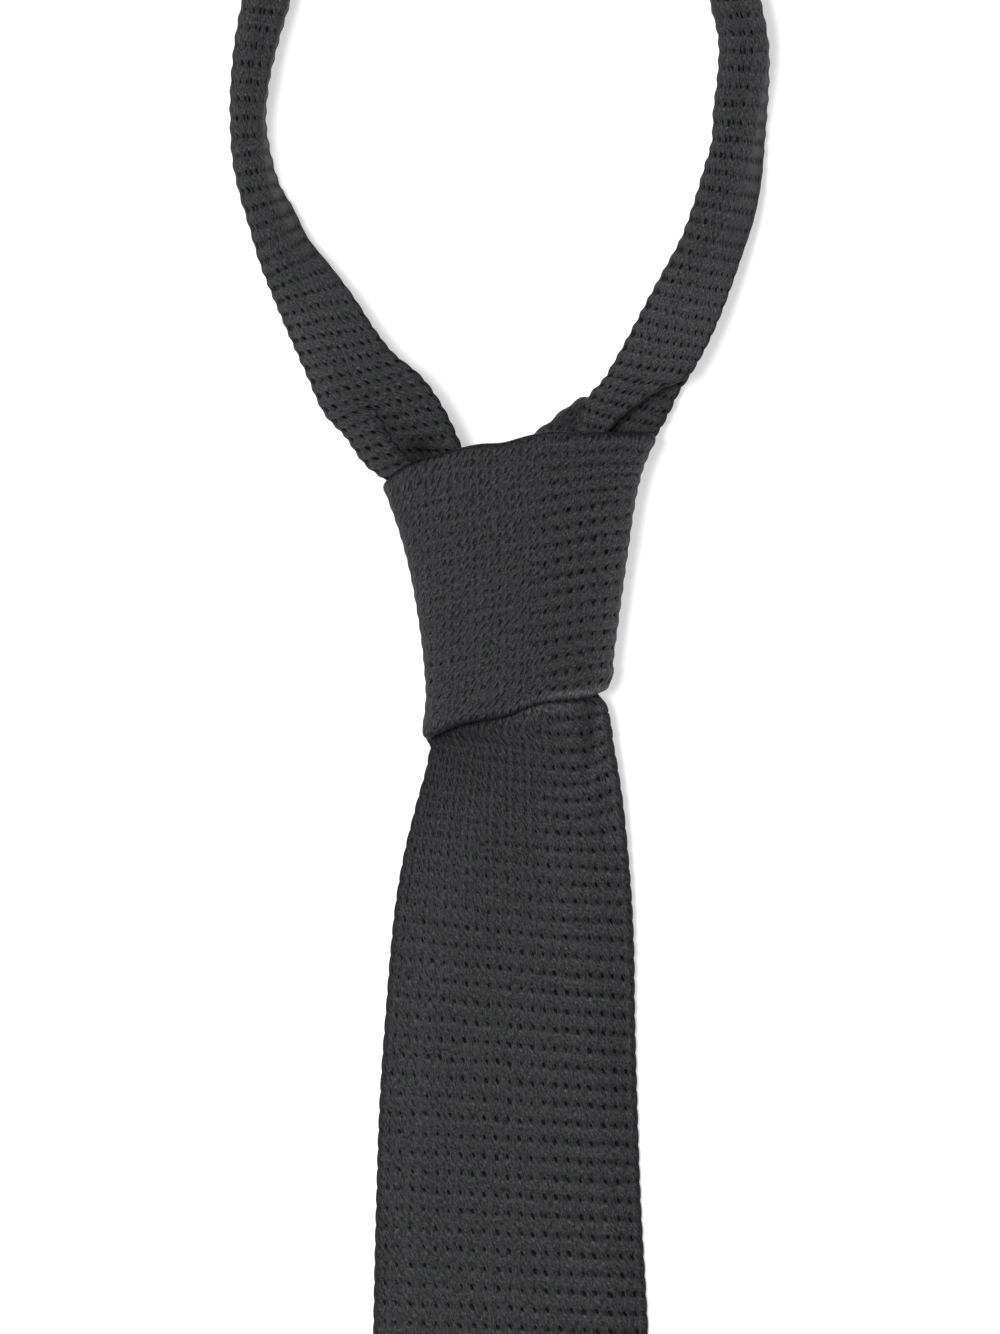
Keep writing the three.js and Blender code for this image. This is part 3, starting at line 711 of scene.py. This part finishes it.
def blade_cloth():
    """The front blade, in courses that slope as they hang from the knot."""
    table = BLADE[::-1]
    end = BLADE_LOW[1]
    down, course = course_places(table, BLADE_HIGH[1] - WALL, end, NEAR_END)
    names = ("lean", "slope", "bend", "open", "rise")
    column = {name: read(table, "y", name, down)[:, None] for name in names}
    points = BLADE_WALES * ACROSS + 1
    share = np.linspace(-1, 1, points)[None]
    across = share + column["lean"] * (share**2 - 1) / 2
    y = np.repeat(down[:, None], points, 1)
    for _ in range(OUTLINE_ROUNDS):
        left = read(table, "y", "left", y) + WALL / 2
        right = read(table, "y", "right", y) - WALL / 2
        x = lerp(left, right, (across + 1) / 2)
        level = LEVEL_FROM - LEVEL_SOFT * np.logaddexp(0, (LEVEL_FROM - x) / LEVEL_SOFT)
        beyond = RIDGE_SOFT * np.logaddexp(0, (x - RIDGE_X) / RIDGE_SOFT)
        y = down[:, None] - column["slope"] * lerp(x, level, column["bend"]) + column["rise"] * beyond
    shape = {name: read(table, "y", name, y) for name in ("top", "crown", "flat", "ridge")}
    drop = ease((np.abs(across) - shape["flat"]) / (1 - shape["flat"]))
    ridge = shape["ridge"] * np.exp(-(((across - RIDGE_AT) / RIDGE_WIDTH) ** 2))
    z = shape["top"] - shape["crown"] * drop + ridge
    middle = np.stack([x, y, np.maximum(z, WALL / 2)], -1)
    wale = np.broadcast_to(share * BLADE_WALES / 2, x.shape)
    loose = ease((x - GATHER_RIGHT) / GATHER_SOFT)
    openness = lerp(column["open"], np.maximum(column["open"], LOOSE_OPEN), loose)
    openness = openness * lerp(LEFT_OPEN, RIGHT_OPEN, ease((x - LEFT_FROM) / LEFT_WIDE))
    ridged = lerp(BLADE_RIDGED, 1.0, ease(x / RIDGED_WIDE))
    gather = (1 - column["open"]) * (1 - loose)
    course = np.broadcast_to(course[:, None], x.shape)
    # Painted light and shade from the ovals
    painted_shading = shading(x, y, BLADE_SHADES)
    return cloth("blade_cloth", middle, course, wale, openness, gather, painted_shading, ridged,
                 thick=rounded_end(down, end))


# The tail under the blade, from inside the knot to its square end: half its width, how far it is
# out of line and the height of its middle
TAIL = [
    {"y": 10.3, "half": 9.8, "z": 4.25}, {"y": -10.0, "half": 11.2, "z": 4.25},
    {"y": -32.0, "half": 11.5, "z": 4.2}, {"y": -44.0, "half": 12.5, "z": 1.4},
    {"y": -63.0, "half": 16.0, "z": 1.35}, {"y": -101.0, "half": 17.2, "shift": -1.2, "z": 1.35},
    {"y": -170.0, "half": 18.6, "shift": -0.8, "z": 1.35}, {"y": -273.0, "half": 19.2, "z": 1.35},
    {"y": -378.0, "half": 19.2, "z": 1.35},
]
TAIL_WALES = 14
TAIL_ALONG = 4


def tail_cloth():
    """The narrow end, flat and straight, in level courses."""
    table = TAIL[::-1]
    top = TAIL_HIGH[1]
    end = TAIL_LOW[1]
    steps = np.arange(0, (top - end) / COURSE, 1 / TAIL_ALONG)
    down = np.concatenate([top - steps * COURSE, end + END_STEPS * WALL / 2])
    down = np.unique(down)[::-1]
    column = {name: read(table, "y", name, down)[:, None] for name in ("half", "shift", "z")}
    points = TAIL_WALES * ACROSS + 1
    share = np.linspace(-1, 1, points)[None]
    x = column["shift"] + share * (column["half"] - WALL / 2)
    y = np.broadcast_to(down[:, None], x.shape)
    middle = np.stack([x, y, np.broadcast_to(column["z"], x.shape)], -1)
    wale = np.broadcast_to(share * TAIL_WALES / 2, x.shape)
    course = np.broadcast_to(((top - down) / COURSE)[:, None], x.shape)
    return cloth("tail_cloth", middle, course, wale, openness=1.0, thick=rounded_end(down, end))


# The throat, where the strip turns over the top of the knot: how high up its crest shows, its legs
# inside the knot, and the heights that it turns between
THROAT = [
    {"x": -7.0, "crest": 24.0}, {"x": -1.5, "crest": 26.8}, {"x": 4.2, "crest": 30.4},
    {"x": 8.6, "crest": 33.9}, {"x": 13.2, "crest": 37.4}, {"x": 15.5, "crest": 38.0},
]
THROAT_FOOT = 17.0
THROAT_LEG = 1.0
THROAT_WALES = 12
THROAT_OPEN = 0.7
THROAT_LOW = 4.25
THROAT_HIGH = 12.0
# The throat's yarn is darkened with painted shade, as it lies low between the knot and the band
THROAT_PAINTED_SHADE = 0.62


def throat_cloth():
    """A short sheet that comes up out of the knot, turns over and goes back in."""
    count = int((THROAT[-1]["x"] - THROAT[0]["x"]) / COURSE * ALONG) + 1
    x = np.linspace(THROAT[-1]["x"], THROAT[0]["x"], count)
    crest = read(THROAT, "x", "crest", x) - WALL / 2
    radius = (THROAT_HIGH - THROAT_LOW) / 2
    turn = np.linspace(0, math.pi, FOLD_POINTS + 1)
    points = THROAT_WALES * ACROSS + 1
    middle = np.zeros((count, points, 3))
    for i in range(count):
        shoulder = max(crest[i] - radius, THROAT_FOOT + THROAT_LEG)
        over = shoulder + (crest[i] - shoulder) * np.sin(turn)
        y = np.concatenate([[THROAT_FOOT], over, [THROAT_FOOT]])
        z = np.concatenate([[THROAT_LOW], THROAT_LOW + radius * (1 - np.cos(turn)), [THROAT_HIGH]])
        middle[i] = resampled(np.stack([np.full_like(y, x[i]), y, z], -1), points)
    wale = np.broadcast_to(np.arange(points) / ACROSS, middle.shape[:2])
    course = np.broadcast_to(np.arange(count)[:, None] / ALONG, middle.shape[:2])
    return cloth("throat_cloth", middle, course, wale, THROAT_OPEN, painted_shading=THROAT_PAINTED_SHADE)


class Graph:
    """Short names for the shader nodes that the knit is worked out with."""

    def __init__(self, material):
        material.use_nodes = True
        self.tree = material.node_tree
        self.tree.nodes.clear()

    def node(self, kind, **settings):
        """A new node with its settings."""
        made = self.tree.nodes.new(kind)
        for name, value in settings.items():
            setattr(made, name, value)
        return made

    def feed(self, socket, value):
        """Links a socket to an input, or sets a number on it."""
        if isinstance(value, bpy.types.NodeSocket):
            self.tree.links.new(value, socket)
        else:
            socket.default_value = value

    def math(self, operation, *values):
        """The outcome of one sum."""
        made = self.node("ShaderNodeMath", operation=operation)
        for socket, value in zip(made.inputs, values):
            self.feed(socket, value)
        return made.outputs[0]

    def ramp(self, value, low, high, start=0.0, end=1.0):
        """value taken smoothly from start at low to end at high."""
        made = self.node("ShaderNodeMapRange", interpolation_type="SMOOTHSTEP")
        for socket, part in zip(made.inputs, (value, low, high, start, end)):
            self.feed(socket, part)
        return made.outputs[0]

    def oval(self, x, y, wide, tall):
        """The distance from the middle of an oval, 1 at its edge."""
        wide = self.math("POWER", self.math("DIVIDE", x, wide), 2.0)
        tall = self.math("POWER", self.math("DIVIDE", y, tall), 2.0)
        return self.math("SQRT", self.math("ADD", wide, tall))

    def attribute(self, name):
        return self.node("ShaderNodeAttribute", attribute_name=name).outputs["Fac"]

    def noise(self, coordinate, scale, detail=2.0, roughness=0.5):
        made = self.node("ShaderNodeTexNoise")
        self.feed(made.inputs["Vector"], coordinate)
        made.inputs["Scale"].default_value = scale
        made.inputs["Detail"].default_value = detail
        made.inputs["Roughness"].default_value = roughness
        return made.outputs["Fac"]


# The yarn's two colours, an eyelet's half sizes and slant in millimetres, how far it strays from its
# place, the painted glint of the loop beside it, the painted shadow in the groove between courses,
# the streaks along the yarn and the short strokes of closed knit
OLIVE_YARN = (0.0297, 0.0311, 0.0301, 1)
LILAC_YARN = (0.0314, 0.0301, 0.0339, 1)
EYELET_WIDE = 0.34
EYELET_TALL = 0.5
EYELET_SLANT = 0.35
WANDER = 0.4
GLINT_SIDE = 0.3
GLINT_DROP = 0.95
GROOVE = 0.4
STREAK_WIDE = 0.5
STREAK_LONG = 1.3
STROKES_ACROSS = 1.5
STROKES_ALONG = 1.8
STROKE_WIDE = 0.28
STROKE_TALL = 0.62
STROKE_SLANT = 0.55
STROKE_WANDER = 0.6
STROKE_BESIDE = 2.2
STROKE_SIZES = (0.9, 0.35)

# An eyelet's size by chance, its painted glint's own size, and the smaller share of the finer spots
EYELET_SIZES = (0.6, 0.55)
GLINT_WIDE = 0.42
GLINT_TALL = 0.34
SPOT_OPEN = 0.55

# The scales of the noise: along the yarn, and in metres for the fibres and the uneven dye
STREAK_SCALE = 1.15
SPECK_SCALE = 1.7
FIBRE_SCALE = 2400.0
MOTTLE_SCALE = 200.0
LILAC_SCALE = 330.0
LILAC_LOSS = 0.12

# Where the knit is open it has fewer strokes, down to a least share
CLOSED_KNIT = 1.2
OPEN_LOSS = 0.95
LEAST_STROKES = 0.1

# How much each mark lightens the yarn, darkens it and raises its surface, which is BUMP_DEPTH
# millimetres deep. The glints and specks lighten it as painted highlights, and the rib, dashes,
# spots and holes darken it as painted shade in the hollows between ribs, the gaps between yarns
# and the eyelets
BASE_SHADE = 0.98
LEAST_SHADE = 0.03
LIGHTER = {"streak": 2.3, "fibre": 1.5, "mottle": 0.35, "glints": 1.3, "specks": 0.9, "strands": 0.42}
DARKER = {"rib": 0.4, "dashes": 0.75, "spots": 0.5, "holes": 0.95}
RAISED = {"streak": 1.6, "fibre": 0.8, "glints": 0.5, "holes": -1.2, "dashes": -0.5}
BUMP_STRENGTH = 0.7
BUMP_DEPTH = 0.25
YARN_ROUGHNESS = 0.6
YARN_SHINE = 0.12


def cells(graph, u, v, wide, tall, wander):
    """A grid of cells: the way from the middle of each in millimetres, a little out of place, and
    three numbers by chance."""
    column = graph.math("FLOOR", graph.math("ADD", u, 0.5))
    row = graph.math("FLOOR", graph.math("ADD", v, 0.5))
    place = graph.node("ShaderNodeCombineXYZ")
    graph.feed(place.inputs[0], column)
    graph.feed(place.inputs[1], row)
    chance = graph.node("ShaderNodeTexWhiteNoise", noise_dimensions="3D")
    graph.feed(chance.inputs["Vector"], place.outputs[0])
    parts = graph.node("ShaderNodeSeparateXYZ")
    graph.feed(parts.inputs[0], chance.outputs["Color"])
    away = [graph.math("MULTIPLY_ADD", part, wander, -wander / 2) for part in parts.outputs[:2]]
    x = graph.math("MULTIPLY_ADD", graph.math("SUBTRACT", u, column), wide, away[0])
    y = graph.math("MULTIPLY_ADD", graph.math("SUBTRACT", v, row), tall, away[1])
    return x, y, parts.outputs


def eyelets(graph, u, v, shift, openness):
    """A mask of small slanted ovals, one to a stitch, which is darkened as painted shade, and a mask
    of the painted glint on the loop of yarn beside each of them."""
    u = graph.math("ADD", u, shift)
    v = graph.math("ADD", v, shift)
    x, y, chance = cells(graph, u, v, WALE, COURSE, WANDER)
    slanted = graph.math("MULTIPLY_ADD", y, -EYELET_SLANT, x)
    distance = graph.oval(slanted, y, EYELET_WIDE, EYELET_TALL)
    size = graph.math("MULTIPLY", openness, graph.math("MULTIPLY_ADD", chance[2], *EYELET_SIZES))
    inside = graph.math("SUBTRACT", size, distance)
    beside = graph.math("ADD", slanted, GLINT_SIDE)
    below = graph.math("SUBTRACT", y, GLINT_DROP)
    glint = graph.ramp(graph.oval(beside, below, GLINT_WIDE, GLINT_TALL), 1.3, 0.3)
    glint = graph.math("MULTIPLY", graph.math("MULTIPLY", glint, chance[0]), openness)
    return graph.ramp(inside, -0.3, 0.15), glint


def strokes(graph, u, v):
    """Masks of the short slanted gaps between the yarns of closed knit, darkened as painted shade, and of
    the yarn beside them.
    """
    u = graph.math("MULTIPLY", u, STROKES_ACROSS)
    v = graph.math("MULTIPLY", v, STROKES_ALONG)
    x, y, chance = cells(graph, u, v, WALE / STROKES_ACROSS, COURSE / STROKES_ALONG, STROKE_WANDER)
    slanted = graph.math("MULTIPLY_ADD", y, -STROKE_SLANT, x)
    size = graph.math("MULTIPLY_ADD", chance[2], *STROKE_SIZES)
    gap = graph.math("SUBTRACT", size, graph.oval(slanted, y, STROKE_WIDE, STROKE_TALL))
    beside = graph.math("ADD", slanted, STROKE_WIDE * STROKE_BESIDE)
    yarn = graph.math("SUBTRACT", size, graph.oval(beside, y, STROKE_WIDE, STROKE_TALL))
    return graph.ramp(gap, -0.4, 0.2), graph.ramp(yarn, -0.4, 0.3)


def knit_material():
    """Charcoal silk yarn in an open knit: eyelets and gaps darkened with painted shade, painted glints,
    short strokes of yarn and fine fibres.
    """
    material = bpy.data.materials.new("charcoal_knit")
    graph = Graph(material)
    uv = graph.node("ShaderNodeUVMap", uv_map="fabric")
    parts = graph.node("ShaderNodeSeparateXYZ")
    graph.feed(parts.inputs[0], uv.outputs[0])
    u, v = parts.outputs[0], parts.outputs[1]
    openness = graph.attribute("openness")
    gather = graph.attribute("gather")
    ridged = graph.attribute("ridged")
    painted_shading = graph.attribute("painted_shading")
    place = graph.node("ShaderNodeTexCoord").outputs["Object"]
    marks = {}
    # Eyelets and finer spots, darkened as painted shade, and the painted glint beside each eyelet
    marks["holes"], marks["glints"] = eyelets(graph, u, v, 0.0, openness)
    marks["spots"], _ = eyelets(graph, u, v, 0.5, graph.math("MULTIPLY", openness, SPOT_OPEN))

    x = graph.math("MULTIPLY", u, WALE)
    y = graph.math("MULTIPLY", v, COURSE)
    slanted = graph.math("MULTIPLY_ADD", y, -EYELET_SLANT, x)
    along = graph.node("ShaderNodeCombineXYZ")
    graph.feed(along.inputs[0], graph.math("DIVIDE", slanted, STREAK_WIDE))
    graph.feed(along.inputs[1], graph.math("DIVIDE", y, STREAK_LONG))
    along = along.outputs[0]
    marks["streak"] = graph.math("SUBTRACT", graph.noise(along, STREAK_SCALE, 1.0, 0.55), 0.5)
    # Painted glints on the yarn, at random
    marks["specks"] = graph.ramp(graph.noise(along, SPECK_SCALE, 0.0, 0.5), 0.60, 0.74)
    marks["fibre"] = graph.math("SUBTRACT", graph.noise(place, FIBRE_SCALE, 1.0, 0.5), 0.5)
    marks["mottle"] = graph.math("SUBTRACT", graph.noise(place, MOTTLE_SCALE, 3.0, 0.6), 0.5)

    closed = graph.math("MULTIPLY_ADD", openness, -OPEN_LOSS, CLOSED_KNIT)
    closed = graph.math("MAXIMUM", closed, LEAST_STROKES)
    dashes, strands = strokes(graph, u, v)
    marks["dashes"] = graph.math("MULTIPLY", dashes, closed)
    marks["strands"] = graph.math("MULTIPLY", strands, closed)
    # Painted shade in the hollows between gathered ribs and in the grooves between courses, and a little
    # painted light on the ridges between the grooves
    rib = graph.math("ABSOLUTE", graph.math("COSINE", graph.math("MULTIPLY", u, math.pi)))
    marks["rib"] = graph.math("MULTIPLY", graph.math("POWER", rib, 3.0), gather)
    groove = graph.math("ABSOLUTE", graph.math("COSINE", graph.math("MULTIPLY", v, math.pi)))
    groove = graph.math("MULTIPLY_ADD", graph.math("POWER", groove, 6.0), -GROOVE, GROOVE * 0.3)
    groove = graph.math("MULTIPLY_ADD", groove, ridged, 1.0)

    shade = BASE_SHADE
    for name, share in LIGHTER.items():
        shade = graph.math("MULTIPLY_ADD", marks[name], share, shade)
    shade = graph.math("MULTIPLY", shade, groove)
    for name, share in DARKER.items():
        shade = graph.math("MULTIPLY", shade, graph.math("MULTIPLY_ADD", marks[name], -share, 1.0))
    # Times the painted light and shade that each point of the cloth carries
    shade = graph.math("MAXIMUM", graph.math("MULTIPLY", shade, painted_shading), LEAST_SHADE)
    lilac = graph.noise(place, LILAC_SCALE, 2.0, 0.6)
    lilac = graph.ramp(graph.math("MULTIPLY_ADD", openness, -LILAC_LOSS, lilac), 0.27, 0.51)
    yarn = graph.node("ShaderNodeMix", data_type="RGBA")
    graph.feed(yarn.inputs[0], lilac)
    yarn.inputs[6].default_value = OLIVE_YARN
    yarn.inputs[7].default_value = LILAC_YARN
    color = graph.node("ShaderNodeVectorMath", operation="SCALE")
    graph.feed(color.inputs[0], yarn.outputs[2])
    graph.feed(color.inputs["Scale"], shade)

    height = 0.0
    for name, share in RAISED.items():
        height = graph.math("MULTIPLY_ADD", marks[name], share, height)
    bump = graph.node("ShaderNodeBump")
    bump.inputs["Strength"].default_value = BUMP_STRENGTH
    bump.inputs["Distance"].default_value = BUMP_DEPTH * MM
    graph.feed(bump.inputs["Height"], height)

    shader = graph.node("ShaderNodeBsdfPrincipled")
    graph.feed(shader.inputs["Base Color"], color.outputs[0])
    graph.feed(shader.inputs["Normal"], bump.outputs[0])
    shader.inputs["Roughness"].default_value = YARN_ROUGHNESS
    shader.inputs["Specular IOR Level"].default_value = YARN_SHINE
    output = graph.node("ShaderNodeOutputMaterial")
    graph.feed(output.inputs[0], shader.outputs[0])
    return material


# The floor's half width in metres, its glow and its colour
FLOOR_HALF = 4.0
FLOOR_GLOW = 0.46
FLOOR_COLOR = (0.86, 0.86, 0.86, 1)


def floor():
    """A pale floor that glows a little, as a light table does, so that shadows stay faint."""
    mesh = bpy.data.meshes.new("floor")
    square = [(-FLOOR_HALF, -FLOOR_HALF, 0), (FLOOR_HALF, -FLOOR_HALF, 0),
              (FLOOR_HALF, FLOOR_HALF, 0), (-FLOOR_HALF, FLOOR_HALF, 0)]
    mesh.from_pydata(square, [], [(0, 1, 2, 3)])
    piece = bpy.data.objects.new("floor", mesh)
    bpy.context.scene.collection.objects.link(piece)
    material = bpy.data.materials.new("pale_floor")
    graph = Graph(material)
    shader = graph.node("ShaderNodeBsdfPrincipled")
    shader.inputs["Base Color"].default_value = FLOOR_COLOR
    shader.inputs["Emission Color"].default_value = (1, 1, 1, 1)
    shader.inputs["Emission Strength"].default_value = FLOOR_GLOW
    shader.inputs["Roughness"].default_value = 0.9
    shader.inputs["Specular IOR Level"].default_value = 0.1
    output = graph.node("ShaderNodeOutputMaterial")
    graph.feed(output.inputs[0], shader.outputs[0])
    mesh.materials.append(material)


# The photograph's frame: its size in pixels, the origin's pixel and a pixel's size on the cloth in
# millimetres. The camera's height and the focus's are in metres
PHOTO_WIDE = 1000
PHOTO_HIGH = 1334
ORIGIN_X = 515
ORIGIN_Y = 585
PIXEL = 0.2
CAMERA_HEIGHT = 3.0
FOCUS_HEIGHT = 0.010
SENSOR = 36.0


def camera():
    """Straight above the tie, far away, with the photograph's frame."""
    data = bpy.data.cameras.new("camera")
    data.sensor_width = SENSOR
    data.lens = SENSOR * (CAMERA_HEIGHT - FOCUS_HEIGHT) / (PHOTO_HIGH * PIXEL * MM)
    data.clip_start = 0.05
    data.clip_end = 60.0
    eye = bpy.data.objects.new("camera", data)
    x = (PHOTO_WIDE / 2 - ORIGIN_X) * PIXEL * MM
    y = (ORIGIN_Y - PHOTO_HIGH / 2) * PIXEL * MM
    eye.location = (x, y, CAMERA_HEIGHT)
    bpy.context.scene.collection.objects.link(eye)
    bpy.context.scene.camera = eye


def light(name, place, size, power):
    """A soft panel of light that faces the knot."""
    data = bpy.data.lights.new(name, "AREA")
    data.shape = "DISK"
    data.size = size
    data.energy = power
    lamp = bpy.data.objects.new(name, data)
    lamp.location = place
    toward = -lamp.location.normalized()
    lamp.rotation_mode = "QUATERNION"
    lamp.rotation_quaternion = toward.to_track_quat("-Z", "Y")
    bpy.context.scene.collection.objects.link(lamp)


WORLD_LIGHT = 0.25


def world():
    """Even white light from all round."""
    made = bpy.data.worlds.new("studio")
    made.use_nodes = True
    background = made.node_tree.nodes["Background"]
    background.inputs["Color"].default_value = (1, 1, 1, 1)
    background.inputs["Strength"].default_value = WORLD_LIGHT
    bpy.context.scene.world = made
    bpy.context.scene.view_settings.view_transform = "Standard"


def dress(piece, node, material):
    """Puts a sheet of cloth in place of its solid."""
    piece.data.materials.append(material)
    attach(piece, "root")
    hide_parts(node)


camera()
world()
floor()
light("key", (-0.52, 0.08, 2.4), 0.6, 43.5)
light("left_fill", (-1.5, 0.3, 1.2), 0.8, 5)
light("right_fill", (1.5, 0.3, 1.2), 0.8, 4)
knit = knit_material()
dress(wrap_cloth(), "knot_wrap", knit)
dress(throat_cloth(), "knot_throat", knit)
dress(band_cloth(), "neck_band", knit)
dress(blade_cloth(), "front_blade", knit)
dress(tail_cloth(), "tail_blade", knit)
